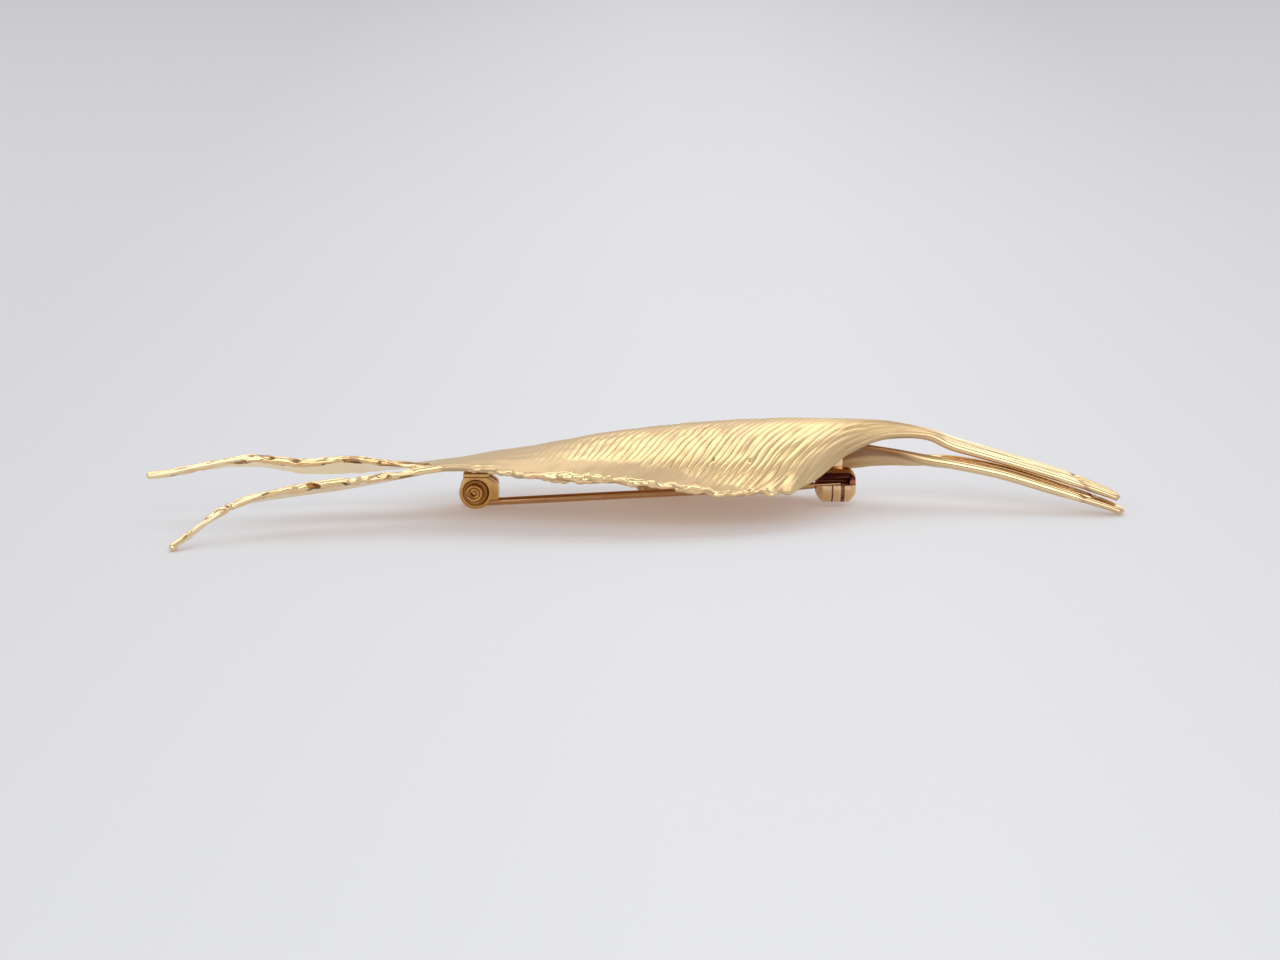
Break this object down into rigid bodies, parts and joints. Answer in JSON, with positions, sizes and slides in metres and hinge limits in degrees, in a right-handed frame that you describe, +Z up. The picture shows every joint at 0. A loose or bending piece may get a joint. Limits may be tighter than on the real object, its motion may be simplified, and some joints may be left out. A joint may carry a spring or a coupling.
{
  "type": "feather brooch",
  "caption": "Gold feather brooch: a curved ribbed vane in two halves with split tails and quills, with a hinged pin and a turning catch underneath.",
  "frame": {"origin": "under the middle of the brooch's box, on the surface that it lies on with its pin underneath", "axes": "+X along the feather towards the quills, +Y away from the front edge, +Z up from the surface"},
  "size_m": [0.0827, 0.0204, 0.0079],
  "materials": {
    "satin_gold": "yellow gold with a satin face",
    "polished_gold": "yellow gold, polished",
    "pin_gold": "drawn gold wire, polished"
  },
  "bodies": {
    "root": {"feather": "satin_gold", "hinge_rivet": "polished_gold"},
    "pin": {"pin_stem": "pin_gold"},
    "lock": {"catch_lock": "polished_gold"}
  },
  "joints": [
    {"name": "pin_swing", "type": "hinge", "parent": "root", "child": "pin", "pos_m": [-0.01385, 0.0049, 0.0014], "axis": [0, 1, 0], "range_deg": [0, 95]},
    {"name": "lock_turn", "type": "hinge", "parent": "root", "child": "lock", "pos_m": [0.01695, 0.0049, 0.0019], "axis": [-1, 0, 0], "range_deg": [0, 135]}
  ]
}
